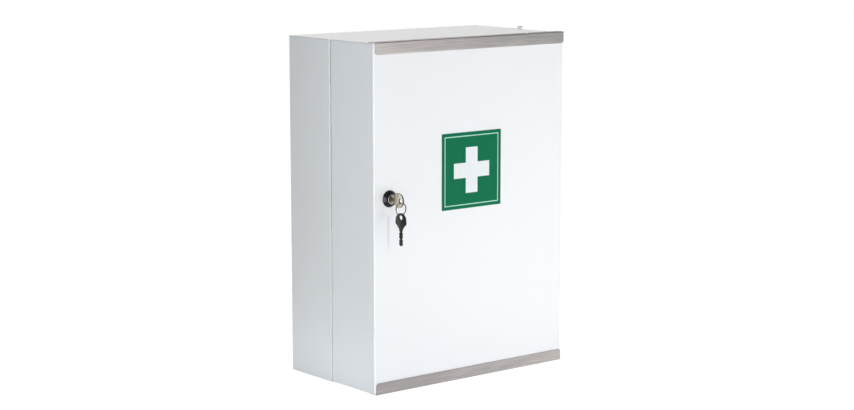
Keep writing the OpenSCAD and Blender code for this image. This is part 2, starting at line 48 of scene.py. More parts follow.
# Planes and places in the frame, in millimetres
TOP_Z = 225.0
BASE_Z = -225.0
LOCK_SIDE = -160.0
DOOR_FRONT = -182.0
BODY_FRONT = -89.0
SEAM_MIDDLE = BODY_FRONT - 1.1
DOOR_REAR = BODY_FRONT - 2.2
HINGE_X = 164.2
LEAF_RIVET_X = 154
STRIP_RIVET_X = 100
BUFFER_UP = 170
RAIL_HEIGHTS = {"rail_lower": -177.8, "rail_middle": -40, "rail_upper": 120}

# Rivets, in millimetres
RIVETS_IN_LEAF = 6
RIVET_R = 1.4

# The lock, in millimetres: its axis, its barrel, and how far behind the door's front its pieces lie
LOCK_X = -135.5
LOCK_Z = 27.5
BARREL_R = 5.6
BARREL_BORE_R = 5.65
NUT_BEHIND = 3.2
CAM_BEHIND = 21.05
WASHER_BEHIND = 22.7
SCREW_BEHIND = 23.1

# A key, in millimetres: its round bow with a hole, the shoulder under it and its blade
KEY_LENGTH = 42
BOW_R = 9.2
BOW_SIDE = 11.45
BOW_HOLE_DOWN = 5.2
SHOULDER = 19.5
BLADE_HALF = 2.6

# How the key in the lock, the ring and the spare key hang, in millimetres and degrees
KEY_TOP_Y = DOOR_FRONT - 29
KEY_HOLE_Y = KEY_TOP_Y + BOW_HOLE_DOWN
RING_Z = 17.15
SPARE_TOP_Z = 12.0
SPARE_TWIST = 4

# What is closer than this, in metres, is one point
TOUCHING = 0.000001

# Camera: where it stands, where it looks and how long its lens is
CAMERA_PLACE = Vector((-1.6546, -2.1463, 0.4137))
CAMERA_YAW = math.radians(38.815)
CAMERA_PITCH = math.radians(-9.02)
PICTURE_WIDTH_PX = 854
FOCAL_LENGTH_PX = 1986.1
SENSOR_WIDTH_MM = 36

# Studio: light from all round, a ceiling that shiny metal sees darker, and a white floor
ROOM_LIGHT = 0.15
CEILING_SEEN = 0.12
CEILING_STARTS = 0.36
CEILING_FULL = 0.66
FLOOR_HALF = 8.0
FLOOR_COLOUR = (0.86, 0.86, 0.86, 1)
FLOOR_GLOW = 0.965
FLOOR_SHADE = (0.23, 0.23, 0.23, 1)
WHITE = (1, 1, 1, 1)
NEUTRAL = (1, 1, 1)
COOL = (0.90, 0.975, 1)
WARM = (1, 0.96, 0.90)

# Lamps: name, place, the point it is aimed at, width, height, colour and watts
LAMPS = (
    ("front_box", (0.03, -2.30, 0.50), (-0.10, -0.15, -0.10), 0.34, 0.34, NEUTRAL, 17.2),
    ("right_box", (1.30, -1.30, -0.30), (0.10, -0.18, 0), 0.9, 0.9, NEUTRAL, 6.8),
    ("camera_side_box", (-0.97, -2.70, 0.75), (-0.1, -0.15, 0), 0.9, 0.9, COOL, 5.2),
    ("left_strip", (-0.50, -0.24, 0.09), (-0.16, -0.09, 0.09), 0.08, 0.90, COOL, 0.90),
    ("left_low_strip", (-0.25, -0.10, -0.215), (-0.16, -0.10, -0.17), 0.30, 0.02, COOL, 0.03),
    ("front_low_strip", (0.22, -0.70, -0.19), (0.13, -0.18, -0.16), 0.50, 0.06, NEUTRAL, 0.72),
    ("top_box", (0.1, 0.2, 2.0), (0, -0.1, 0), 1.4, 1.4, WARM, 21),
)


# ---- Shader maths ----

class Field:
    """A number, colour or vector that varies over a surface: the output of a node."""

    def __init__(self, shader, socket):
        self.shader = shader
        self.socket = socket

    def maths(self, operation, *values):
        return self.shader.add("ShaderNodeMath", {"operation": operation}, dict(enumerate(values)))

    def __add__(self, other):
        return self.maths("ADD", self, other)

    def __sub__(self, other):
        return self.maths("SUBTRACT", self, other)

    def __rsub__(self, other):
        return self.maths("SUBTRACT", other, self)

    def __mul__(self, other):
        return self.maths("MULTIPLY", self, other)

    __radd__ = __add__
    __rmul__ = __mul__

    def power(self, exponent):
        return self.maths("POWER", self, exponent)

    def clamped(self):
        return self.maths("MAXIMUM", self.maths("MINIMUM", self, 1), 0)


class Shader:
    """The nodes of a material or of the world."""

    def __init__(self, owner):
        owner.use_nodes = True
        self.tree = owner.node_tree
        self.tree.nodes.clear()

    def node(self, kind, settings, inputs):
        """Makes a node: its settings first, then the values or links of its sockets."""
        node = self.tree.nodes.new(kind)
        for name, value in settings.items():
            setattr(node, name, value)
        for key, value in inputs.items():
            if isinstance(value, Field):
                self.tree.links.new(value.socket, node.inputs[key])
            else:
                node.inputs[key].default_value = value
        return node

    def add(self, kind, settings, inputs, output=0):
        """Makes a node and gives what comes out of it."""
        return Field(self, self.node(kind, settings, inputs).outputs[output])

    def place(self):
        """The place on the piece, in metres, which stays with it as it moves."""
        return self.add("ShaderNodeTexCoord", {}, {}, "Object")

    def stretched(self, vector, factors):
        return self.add("ShaderNodeVectorMath", {"operation": "MULTIPLY"}, {0: vector, 1: factors})

    def part_of(self, vector, axis):
        return self.add("ShaderNodeSeparateXYZ", {}, {0: vector}, axis)

    def grain(self, vector, scale, detail=2.0, rough=0.5):
        """Noise from 0 to 1, with that many lumps to a metre."""
        sockets = {"Vector": vector, "Scale": scale, "Detail": detail, "Roughness": rough}
        return self.add("ShaderNodeTexNoise", {}, sockets)

    def mixed(self, share, low, high):
        """The colour low where share is 0, and high where it is 1."""
        settings = {"data_type": "RGBA", "clamp_factor": True}
        return self.add("ShaderNodeMix", settings, {0: share, 6: low, 7: high}, 2)

    def relief(self, height, depth):
        """The normal of a surface whose height runs from 0 to 1 over that depth."""
        return self.add("ShaderNodeBump", {}, {"Height": height, "Distance": depth})

    def surface(self, shader, output="ShaderNodeOutputMaterial"):
        self.node(output, {}, {"Surface": shader})


def ramp(shader, value, start, end):
    """Runs smoothly from 0 at start to 1 at end."""
    settings = {"interpolation_type": "SMOOTHSTEP"}
    sockets = {"Value": value, "From Min": start, "From Max": end}
    return shader.add("ShaderNodeMapRange", settings, sockets)


def finish(name, skin):
    """A material. skin(shader) gives the sockets of its Principled BSDF."""
    material = bpy.data.materials.new(name)
    shader = Shader(material)
    principled = shader.add("ShaderNodeBsdfPrincipled", {}, skin(shader))
    shader.surface(principled)
    return material


# ---- Finishes ----

def near(s, value, middle, reach):
    """1 where the value is at its middle, falling to 0 at that reach from it."""
    off = value - middle
    return 1 - ramp(s, off * off, 0.2 * reach * reach, reach * reach)


def white_powder_coat(s):
    """Cool white powder coat with a fine orange peel. On the lock side its folds are painted whiter as
    painted highlights, the gap between body and door is painted whiter low down as painted light in
    its shade, and the bend under the top is painted grey as a painted shade line."""
    spot = s.place()
    cloud = s.grain(spot, 9.0, 3.0)
    peel = s.grain(spot, 620.0, 2.0, 0.55)
    waves = s.grain(spot, 14.0, 1.0)
    speck = s.grain(spot, 1900.0, 1.0)
    height = peel * 0.35 + waves * 2.2 + speck * 0.12
    paint = s.mixed(cloud * 0.7 + speck * 0.3, (0.835, 0.850, 0.882, 1), (0.862, 0.876, 0.905, 1))
    across = s.part_of(spot, "X")
    depth = s.part_of(spot, "Y")
    level = s.part_of(spot, "Z")
    upper = 0.15 + ramp(s, level, -0.16, 0.10) * 0.85
    lower = 1 - ramp(s, level, -0.15, 0.06)
    # Painted highlights: the front folds of the body and the door on the lock side are painted whiter, the
    # body's more towards the top.
    body_fold_highlight = near(s, depth, (BODY_FRONT + 0.5) * MM, 1.5 * MM) * upper
    door_fold_highlight = near(s, depth, (DOOR_FRONT + 0.6) * MM, 1.4 * MM)
    outside = 1 - ramp(s, across, (LOCK_SIDE + 0.7) * MM, (LOCK_SIDE + 1.7) * MM)
    lip_side = 1 - ramp(s, across, (LOCK_SIDE + 10) * MM, (LOCK_SIDE + 14) * MM)
    # Painted light: low down, the gap between body and door on the lock side is painted whiter, lifting its
    # shade.
    seam_painted_light = near(s, depth, (BODY_FRONT - 2.4) * MM, 3.4 * MM) * lip_side * lower
    painted_light_on_folds_and_gap = ((body_fold_highlight + door_fold_highlight) * outside + seam_painted_light * 0.8).clamped()
    # Painted shade: a grey line along the bend under the top on the lock side.
    top_fold_painted_shade = near(s, level, (TOP_Z - 0.4) * MM, 1.1 * MM) * outside
    paint = s.mixed(top_fold_painted_shade * 0.8, paint, (0.60, 0.612, 0.635, 1))
    return {
        "Base Color": s.mixed(painted_light_on_folds_and_gap, paint, WHITE),
        "Roughness": 0.30 + cloud * 0.10 + peel * 0.06,
        "Normal": s.relief(height, 0.00006),
        "Specular IOR Level": 0.45,
        "Coat Weight": 0.15,
        "Coat Roughness": 0.18,
    }


def brushed_stainless(s):
    """Stainless steel brushed along the strip: fine streaks and warm patches. Painted reflections make the
    top strip lighter at its left end and the lower strip lighter at its right end; the lower strip is painted
    darker overall as painted shade, and a dark painted reflection runs along the top strip's bend.
    """
    spot = s.place()
    fine = s.grain(s.stretched(spot, (9.0, 1500.0, 1500.0)), 1.0, 3.0, 0.6)
    streak = s.grain(s.stretched(spot, (22.0, 520.0, 520.0)), 1.0, 3.0, 0.6)
    patch = s.grain(s.stretched(spot, (14.0, 90.0, 90.0)), 1.0, 1.0)
    height = s.part_of(spot, "Z")
    # Painted reflections: the top strip is painted lighter at its left end and the lower strip at its right
    # end, darker at the other ends; the lower strip is painted darker still as painted shade.
    drift_and_painted_reflection = 1 - (0.5 - s.part_of(spot, "X") * height * 14.0).clamped().power(1.3)
    lower = 1 - ramp(s, height, -0.2, 0.2)
    shade = drift_and_painted_reflection * 0.74 + lower * 0.14 + fine * 0.40 + streak * 1.4 - 0.69
    tone = s.mixed(shade.clamped(), (0.585, 0.548, 0.532, 1), (0.345, 0.332, 0.326, 1))
    warm = s.mixed(shade.clamped(), (0.600, 0.530, 0.520, 1), (0.374, 0.345, 0.338, 1))
    # Painted reflection: a dark line along the bend at the top of the upper strip, stronger towards the
    # right.
    fold_painted_reflection = near(s, height, (TOP_Z + 0.3) * MM, 1.1 * MM) * ramp(s, s.part_of(spot, "X"), -0.06, 0.08)
    plate = s.mixed(ramp(s, patch, 0.45, 0.75), tone, warm)
    return {
        "Base Color": s.mixed(fold_painted_reflection * 0.55, plate, (0.20, 0.19, 0.185, 1)),
        "Metallic": 1.0,
        "Roughness": 0.24 + fine * 0.14 + streak * 0.08,
        "Normal": s.relief(fine * 0.6 + streak * 0.8, 0.00002),
        "Anisotropic": 0.5,
    }


def bright_zinc(s):
    """Bright zinc plating with a faint bluish cloud and fine scratches."""
    spot = s.place()
    cloud = s.grain(spot, 60.0, 3.0)
    scratch = s.grain(s.stretched(spot, (180.0, 2200.0, 420.0)), 1.0, 2.0, 0.6)
    return {
        "Base Color": s.mixed(cloud, (0.50, 0.515, 0.53, 1), (0.66, 0.665, 0.665, 1)),
        "Metallic": 1.0,
        "Roughness": 0.26 + cloud * 0.12 + scratch * 0.08,
        "Normal": s.relief(scratch, 0.00001),
    }


def chromed_wire(s):
    """Chromed rod, drawn along its length, with faint handling marks."""
    spot = s.place()
    drawn = s.grain(s.stretched(spot, (20.0, 1800.0, 1800.0)), 1.0, 2.0)
    marks = s.grain(spot, 45.0, 3.0)
    return {
        "Base Color": s.mixed(marks, (0.66, 0.67, 0.69, 1), (0.76, 0.77, 0.78, 1)),
        "Metallic": 1.0,
        "Roughness": 0.07 + marks * 0.08 + drawn * 0.04,
    }


def rivet_aluminium(s):
    """Aluminium painted near white and kept mostly matt, as a painted glint on the rivet heads, with the
    marks of the riveting tool.
    """
    spot = s.place()
    marks = s.grain(spot, 900.0, 2.0)
    return {
        # Painted glint: a near white, mostly matt colour stands in for the bright glints on the heads.
        "Base Color": s.mixed(marks, (0.95, 0.955, 0.96, 1), (0.99, 0.99, 0.99, 1)),
        "Metallic": 0.15,
        "Roughness": 0.40 + marks * 0.14,
        "Specular IOR Level": 1.0,
        "Normal": s.relief(marks, 0.00002),
    }


def tumbled_zinc(s):
    """Bright zinc plate, tumbled smooth, for the hinge pin; the top of its head is painted dark grey as
    painted shade.
    """
    spot = s.place()
    marks = s.grain(spot, 600.0, 2.0)
    plate = s.mixed(marks, (0.80, 0.81, 0.82, 1), (0.92, 0.92, 0.92, 1))
    # Painted shade: the top of the pin's head is painted dark grey.
    crown_painted_shade = ramp(s, s.part_of(spot, "Z"), (TOP_Z + 2.0) * MM, (TOP_Z + 2.5) * MM)
    return {
        "Base Color": s.mixed(crown_painted_shade, plate, (0.15, 0.15, 0.153, 1)),
        "Metallic": 0.9,
        "Roughness": 0.14 + marks * 0.10,
        "Normal": s.relief(marks, 0.00002),
    }


def turned_nickel(s):
    """Nickel plate over turned brass, worn warm in places; the groove round the plug is painted near black as
    painted shade.
    """
    spot = s.place()
    marks = s.grain(spot, 700.0, 2.0)
    warmth = s.grain(spot, 260.0, 2.0)
    aside = s.part_of(spot, "X") - LOCK_X * MM
    above = s.part_of(spot, "Z") - LOCK_Z * MM
    out = aside.power(2) + above.power(2)
    # Painted shade: near black in the groove round the plug, in front of the door.
    past_plug = ramp(s, out, (3.85 * MM) ** 2, (4.1 * MM) ** 2)
    groove = past_plug * (1 - ramp(s, out, (5.1 * MM) ** 2, (5.3 * MM) ** 2))
    in_front = 1 - ramp(s, s.part_of(spot, "Y"), (DOOR_FRONT - 5) * MM, (DOOR_FRONT - 4) * MM)
    plate = s.mixed(warmth, (0.56, 0.53, 0.48, 1), (0.84, 0.81, 0.76, 1))
    return {
        "Base Color": s.mixed(groove * in_front, plate, (0.045, 0.038, 0.028, 1)),
        "Metallic": 1.0,
        "Roughness": 0.14 + marks * 0.14,
        "Normal": s.relief(marks, 0.00001),
    }


def spring_steel(s):
    """Plated spring wire, darker in its drawn scratches."""
    spot = s.place()
    marks = s.grain(spot, 900.0, 2.0)
    wear = s.grain(spot, 240.0, 2.0)
    return {
        "Base Color": s.mixed(wear, (0.085, 0.083, 0.082, 1), (0.21, 0.205, 0.20, 1)),
        "Metallic": 1.0,
        "Roughness": 0.20 + marks * 0.16,
        "Normal": s.relief(marks, 0.00001),
    }


def on_faces(s, axis):
    """1 on the flat faces of a key that looks along that axis, and 0 round its edge."""
    facing = s.part_of(s.add("ShaderNodeTexCoord", {}, {}, "Normal"), axis)
    return ramp(s, facing * facing, 0.55, 0.95)


def key_nickel_silver(s):
    """Warm nickel silver, worn matt on its faces; its edge is painted near black and the part next to the
    plug dark brown, both as painted shade.
    """
    spot = s.place()
    rub = s.grain(s.stretched(spot, (400.0, 900.0, 2600.0)), 1.0, 2.0, 0.6)
    wear = s.grain(spot, 150.0, 3.0)
    worn = ramp(s, wear, 0.38, 0.62)
    face = s.mixed(worn, (0.56, 0.47, 0.355, 1), (0.78, 0.73, 0.64, 1))
    # Painted shade: the key is painted dark brown where it nears the plug.
    neck = ramp(s, s.part_of(spot, "Y"), (DOOR_FRONT - 14) * MM, (DOOR_FRONT - 8) * MM)
    face = s.mixed(neck, face, (0.16, 0.125, 0.085, 1))
    # Painted shade: the edge round the key is painted near black.
    edge = s.mixed(wear, (0.030, 0.027, 0.023, 1), (0.10, 0.088, 0.072, 1))
    return {
        "Base Color": s.mixed(on_faces(s, "X"), edge, face),
        "Metallic": 0.92,
        "Roughness": 0.30 + rub * 0.16,
        "Normal": s.relief(rub, 0.00002),
    }


def dark_plated_brass(s):
    """Dark, dulled plating; the half of the key that lies next to the door is painted lighter olive as a
    painted sheen, and its edge near black as painted shade.
    """
    spot = s.place()
    wear = s.grain(spot, 260.0, 3.0)
    rub = s.grain(s.stretched(spot, (900.0, 900.0, 260.0)), 1.0, 2.0, 0.6)
    # Painted sheen: the half of the key next to the door is painted lighter olive.
    painted_sheen = ramp(s, s.part_of(spot, "Y"), (KEY_HOLE_Y - 4) * MM, (KEY_HOLE_Y + 4) * MM)
    shade = (painted_sheen * 0.8 + wear * 0.7 - 0.40).clamped()
    face = s.mixed(shade, (0.019, 0.018, 0.0155, 1), (0.092, 0.087, 0.066, 1))
    # Painted shade: the edge round the key is painted near black.
    edge = s.mixed(wear, (0.012, 0.012, 0.013, 1), (0.030, 0.029, 0.029, 1))
    return {
        "Base Color": s.mixed(on_faces(s, "X"), edge, face),
        "Metallic": 0.75,
        "Roughness": 0.34 + rub * 0.18,
        "Normal": s.relief(rub, 0.00002),
    }


def black_moulding(s):
    """Black moulded plastic with a satin skin, painted grey on its left flank as a painted highlight."""
    spot = s.place()
    skin = s.grain(spot, 1400.0, 2.0)
    dust = s.grain(spot, 240.0, 2.0)
    # Painted highlight: the left flank of the cone, at the height of the lock, is painted grey.
    aside = s.part_of(spot, "X") * -1
    above = s.part_of(spot, "Z") - LOCK_Z * MM
    beside = 1 - ramp(s, above * above, 0, (4.5 * MM) ** 2)
    painted_sheen = ramp(s, aside, (7.2 - LOCK_X) * MM, (9.6 - LOCK_X) * MM) * beside
    black = s.mixed(dust, (0.0045, 0.0045, 0.0055, 1), (0.012, 0.012, 0.014, 1))
    return {
        "Base Color": s.mixed(painted_sheen * 0.8, black, (0.13, 0.132, 0.14, 1)),
        "Roughness": 0.26 + skin * 0.12,
        "Normal": s.relief(skin, 0.00002),
        "Specular IOR Level": 0.22,
    }


def grey_rubber(s):
    """Matt rubber with a fine bloom."""
    spot = s.place()
    bloom = s.grain(spot, 500.0, 3.0)
    return {
        "Base Color": s.mixed(bloom, (0.060, 0.060, 0.064, 1), (0.095, 0.095, 0.10, 1)),
        "Roughness": 0.72 + bloom * 0.16,
        "Normal": s.relief(bloom, 0.00003),
    }


def green_print(s):
    """Safety green print under a clear film, slightly mottled."""
    spot = s.place()
    mottle = s.grain(spot, 380.0, 3.0)
    drift_and_painted_reflection = s.grain(spot, 22.0, 1.0)
    ink = mottle * 0.6 + drift_and_painted_reflection * 0.4
    return {
        "Base Color": s.mixed(ink, (0.0022, 0.134, 0.060, 1), (0.0048, 0.164, 0.075, 1)),
        "Roughness": 0.46 + mottle * 0.10,
        "Specular IOR Level": 0.12,
    }


def white_print(s):
    """White print under a clear film."""
    spot = s.place()
    mottle = s.grain(spot, 380.0, 3.0)
    return {
        "Base Color": s.mixed(mottle, (0.79, 0.835, 0.86, 1), (0.815, 0.855, 0.88, 1)),
        "Roughness": 0.46 + mottle * 0.10,
        "Specular IOR Level": 0.12,
    }


def fine_print(s):
    """A thin white line printed on the green, which shows through it."""
    spot = s.place()
    mottle = s.grain(spot, 380.0, 3.0)
    return {
        "Base Color": s.mixed(mottle, (0.39, 0.73, 0.57, 1), (0.45, 0.80, 0.64, 1)),
        "Roughness": 0.46 + mottle * 0.10,
        "Specular IOR Level": 0.12,
    }


SKINS = {
    "white_steel": white_powder_coat,
    "brushed_stainless": brushed_stainless,
    "zinc_steel": bright_zinc,
    "chrome_wire": chromed_wire,
    "rivet_aluminium": rivet_aluminium,
    "tumbled_zinc": tumbled_zinc,
    "nickel": turned_nickel,
    "spring_steel": spring_steel,
    "key_nickel": key_nickel_silver,
    "dark_key": dark_plated_brass,
    "black_plastic": black_moulding,
    "grey_rubber": grey_rubber,
    "green_film": green_print,
    "white_film": white_print,
    "fine_line": fine_print,
}
FINISHES = {name: finish(name, skin) for name, skin in SKINS.items()}


def dress_frame(frame):
    """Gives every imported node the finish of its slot, and the thin border line its own."""
    for part in frame["record"]["subparts"]:
        node = frame["nodes"][part["node"]]
        node.data.materials.clear()
        node.data.materials.append(FINISHES[part["material_slot"]])
    frame["nodes"]["sign_border"].data.materials[0] = FINISHES["fine_line"]


# ---- Making pieces, in millimetres ----

def filleted(corners, steps=5):
    """A closed run of points through corners (x, y, radius), each rounded to its radius."""
    points = []
    count = len(corners)
    for i, (x, y, radius) in enumerate(corners):
        here = Vector((x, y))
        if radius == 0:
            points.append(here)
            continue
        before = (Vector(corners[i - 1][:2]) - here).normalized()
        after = (Vector(corners[(i + 1) % count][:2]) - here).normalized()
        half_angle = before.angle(after) / 2
        middle = here + (before + after).normalized() * (radius / math.sin(half_angle))
        start = here + before * (radius / math.tan(half_angle)) - middle
        end = here + after * (radius / math.tan(half_angle)) - middle
        sweep = start.angle_signed(end)
        for step in range(steps + 1):
            turn = Matrix.Rotation(-sweep * step / steps, 2)
            points.append(middle + turn @ start)
    return points


def circle(radius, x=0.0, y=0.0):
    steps = 48
    turns = [math.tau * step / steps for step in range(steps)]
    return [Vector((x + radius * math.cos(turn), y + radius * math.sin(turn))) for turn in turns]


def cleaned(mesh, sharp_degrees=32):
    """Joins doubled points, turns the faces outwards and smooths all but the sharp edges."""
    work = bmesh.new()
    work.from_mesh(mesh)
    bmesh.ops.remove_doubles(work, verts=work.verts, dist=TOUCHING)
    bmesh.ops.dissolve_degenerate(work, edges=work.edges, dist=TOUCHING)
    bmesh.ops.recalc_face_normals(work, faces=work.faces)
    work.to_mesh(mesh)
    work.free()
    mesh.shade_smooth()
    mesh.set_sharp_from_angle(angle=math.radians(sharp_degrees))
    return mesh


def joined(shapes):
    """One mesh from pairs of a mesh and the matrix that places it."""
    work = bmesh.new()
    for mesh, place in shapes:
        copy = mesh.copy()
        copy.transform(place)
        work.from_mesh(copy)
        bpy.data.meshes.remove(copy)
    mesh = bpy.data.meshes.new("joined")
    work.to_mesh(mesh)
    work.free()
    return cleaned(mesh)


def turned(profile, steps=64):
    """A shape turned about Z from a profile of (radius, height), closed or with both ends on Z."""
    points = []
    faces = []
    for radius, height in profile:
        for step in range(steps):
            turn = math.tau * step / steps
            points.append(Vector((radius * math.cos(turn), radius * math.sin(turn), height)) * MM)
    rows = len(profile)
    on_axis = profile[0][0] == 0 and profile[-1][0] == 0
    for row in range(rows - on_axis):
        low = row * steps
        high = (row + 1) % rows * steps
        for step in range(steps):
            after = (step + 1) % steps
            faces.append((low + step, low + after, high + after, high + step))
    mesh = bpy.data.meshes.new("turned")
    mesh.from_pydata(points, [], faces)
    return cleaned(mesh)


def plate(outlines, thickness, edge):
    """A flat plate about Z = 0 with rounded edges: its outline, then its holes."""
    curve = bpy.data.curves.new("plate", "CURVE")
    curve.dimensions = "2D"
    curve.fill_mode = "BOTH"
    curve.extrude = (thickness / 2 - edge) * MM
    curve.bevel_depth = edge * MM
    curve.bevel_resolution = 2
    curve.offset = -edge * MM
    for outline in outlines:
        spline = curve.splines.new("POLY")
        spline.points.add(len(outline) - 1)
        spline.use_cyclic_u = True
        for point, (x, y) in zip(spline.points, outline):
            point.co = (x * MM, y * MM, 0, 1)
    shape = bpy.data.objects.new("plate", curve)
    bpy.context.scene.collection.objects.link(shape)
    mesh = bpy.data.meshes.new_from_object(shape)
    bpy.data.objects.remove(shape)
    bpy.data.curves.remove(curve)
    return cleaned(mesh)


def applied(mesh, *modifiers):
    """The mesh after modifiers, each given as its kind and its settings."""
    shape = bpy.data.objects.new("shape", mesh)
    bpy.context.scene.collection.objects.link(shape)
    for kind, settings in modifiers:
        modifier = shape.modifiers.new(kind, kind)
        for name, value in settings.items():
            setattr(modifier, name, value)
    bpy.context.view_layer.update()
    whole = shape.evaluated_get(bpy.context.evaluated_depsgraph_get())
    result = bpy.data.meshes.new_from_object(whole)
    bpy.data.objects.remove(shape)
    return result


def cut(mesh, tool, operation="DIFFERENCE"):
    """The mesh with the tool's shape cut out of it, or whatever operation says."""
    cutter = bpy.data.objects.new("cutter", tool)
    bpy.context.scene.collection.objects.link(cutter)
    result = applied(mesh, ("BOOLEAN", {"object": cutter, "operation": operation, "solver": "EXACT"}))
    bpy.data.objects.remove(cutter)
    return cleaned(result)


def softened(packed, edge):
    """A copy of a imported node's mesh with its sharp edges rounded over."""
    work = bmesh.new()
    work.from_mesh(packed.data)
    bmesh.ops.remove_doubles(work, verts=work.verts, dist=TOUCHING)
    bmesh.ops.dissolve_limit(work, verts=work.verts, edges=work.edges, angle_limit=math.radians(1))
    mesh = bpy.data.meshes.new("softened")
    work.to_mesh(mesh)
    work.free()
    bevel = {"width": edge * MM, "segments": 2, "limit_method": "ANGLE", "angle_limit": math.radians(40)}
    return cleaned(applied(mesh, ("BEVEL", bevel)), 40)


def levelled(mesh):
    """The mesh with normals that keep its large faces looking flat up to their rounded edges."""
    return applied(mesh, ("WEIGHTED_NORMAL", {"keep_sharp": True, "weight": 100}))


def fitted(name, mesh, slot, body, *nodes, finish_name=None):
    """Puts a piece on its body in its finish, in place of the nodes that it refines."""
    mesh.name = name
    mesh.materials.clear()
    mesh.materials.append(FINISHES[finish_name or slot])
    piece = bpy.data.objects.new(name, mesh)
    bpy.context.scene.collection.objects.link(piece)
    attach(piece, body)
    if nodes:
        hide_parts(*nodes)
    return piece


def at(x, y, z, matrix=Matrix()):
    """The matrix that turns a shape and then sets it at a point in millimetres."""
    return Matrix.Translation(Vector((x, y, z)) * MM) @ matrix


FACING_FRONT = Matrix.Rotation(math.radians(90), 4, "X")
FACING_WALL = Matrix.Rotation(math.radians(-90), 4, "X")
UPSIDE_DOWN = Matrix.Rotation(math.radians(180), 4, "X")
AT_LOCK = at(LOCK_X, DOOR_FRONT, LOCK_Z, FACING_FRONT)


# ---- The lock ----

def lock_rosette():
    """The black cone round the lock, slightly crowned, with a step down to the barrel."""
    corners = [(BARREL_BORE_R, 0, 0), (10.6, 0, 0), (11, 0.2, 0.2), (10.95, 0.8, 0.4), (9.6, 3.1, 9),
               (7.9, 4.8, 0.7), (6.9, 4.8, 0.25), (6.7, 4.4, 0.1), (BARREL_BORE_R, 4.4, 0)]
    cone = turned(filleted(corners), 96)
    cone.transform(AT_LOCK)
    fitted("rosette", cone, "black_plastic", "door", "lock_rosette")


def lock_barrel():
    """The barrel: a ribbed collar in front with a groove round the plug, and a threaded body behind."""
    root_r = 5.2
    thread = []
    for turn in range(17):
        low = -19.2 + turn
        thread += [(BARREL_R, low + 0.42, 0), (BARREL_R, low + 0.62, 0), (root_r, low + 1.0, 0)]
    front = [(BARREL_R, -1.6, 0.1), (BARREL_R, 4.8, 0), (6.1, 4.8, 0.05), (6.1, 5.7, 0.3), (5.8, 6.0, 0.25),
             (5.25, 6.0, 0.2), (5.05, 5.45, 0.1), (4.35, 5.45, 0.1), (4.2, 5.9, 0.1), (3.95, 5.9, 0.05)]
    back = [(3.95, -19.5, 0.1), (root_r, -19.5, 0.3)]
    barrel = turned(filleted(back + thread + front, 3))
    barrel.transform(AT_LOCK)
    fitted("barrel", barrel, "nickel", "door", "lock_barrel")


def lock_nut():
    """A hexagon nut with its corners turned off."""
    across_flats = 15
    reach = across_flats / math.sqrt(3)
    hexagon = [Vector((reach * math.cos(turn), reach * math.sin(turn)))
               for turn in [math.radians(60 * corner) for corner in range(6)]]
    blank = plate([hexagon, circle(BARREL_BORE_R)], 4, 0.12)
    chamfer = turned([(0, -2.3), (6.98, -2.3), (8.9, -1.2), (8.9, 1.2), (6.98, 2.3), (0, 2.3)])
    nut = cut(blank, chamfer, "INTERSECT")
    nut.transform(AT_LOCK @ at(0, 0, -NUT_BEHIND))
    fitted("nut", nut, "nickel", "door", "lock_nut")


def cam_and_screw():
    """The pressed cam, its washer and the screw that holds it on the plug."""
    hub_r = 8
    half_arm = 6
    angle = math.asin(half_arm / hub_r)
    hub = [Vector((hub_r * math.sin(turn), -hub_r * math.cos(turn)))
           for turn in [angle + (math.tau - 2 * angle) * step / 40 for step in range(41)]]
    arm = filleted([(-half_arm, -12, 0), (-half_arm, -18, 2), (half_arm, -18, 2), (half_arm, -12, 0)], 6)
    half = 2.53
    square = [(-half, -half, 0.3), (half, -half, 0.3), (half, half, 0.3), (-half, half, 0.3)]
    square_hole = filleted(square, 3)
    cam = plate([hub + arm, square_hole], 2.5, 0.25)
    cam.transform(AT_LOCK @ at(0, 0, -CAM_BEHIND))
    fitted("cam_plate", cam, "zinc_steel", "lock_plug", "cam")
    ring = turned(filleted([(1.55, -0.4, 0.1), (6, -0.4, 0.15), (6, 0.4, 0.2), (1.55, 0.4, 0.1)], 3))
    ring.transform(AT_LOCK @ at(0, 0, -WASHER_BEHIND))
    fitted("washer", ring, "zinc_steel", "lock_plug", "cam_washer")
    head = turned(filleted([(0, 5.8, 0), (1.1, 5.8, 0), (1.5, 5.3, 0), (1.5, 0, 0), (3.2, 0, 0.2),
                            (3.1, -1.0, 0.6), (2.0, -1.9, 1.2), (0, -2.0, 0)], 4), 48)
    cross_arm = filleted([(-1.7, -0.3, 0.1), (1.7, -0.3, 0.1), (1.7, 0.3, 0.1), (-1.7, 0.3, 0.1)], 2)
    slot = plate([cross_arm], 2.4, 0.1)
    slot.transform(at(0, 0, -2))
    head = cut(head, slot)
    slot.transform(Matrix.Rotation(math.radians(90), 4, "Z"))
    head = cut(head, slot)
    head.transform(AT_LOCK @ at(0, 0, -SCREW_BEHIND))
    fitted("screw", head, "zinc_steel", "lock_plug", "cam_screw")


# ---- The keys on their ring ----

def key_half_width(down):
    """Half the width of a key at a distance down from the top of its bow."""
    widest = 0.0
    if down < 2 * BOW_R:
        widest = math.sqrt(max(0.0, BOW_R ** 2 - (down - BOW_R) ** 2))
    aside = abs(down - BOW_SIDE)
    if aside < 4.5:
        widest = max(widest, 5.5 + math.sqrt(max(0.0, 4 ** 2 - max(0.0, aside - 0.5) ** 2)))
    neck = 14.95
    if neck < down < SHOULDER:
        widest = max(widest, 7.5 - (down - neck) * 4 / 4.55)
    return max(widest, BLADE_HALF if down > BOW_R else 0.0)


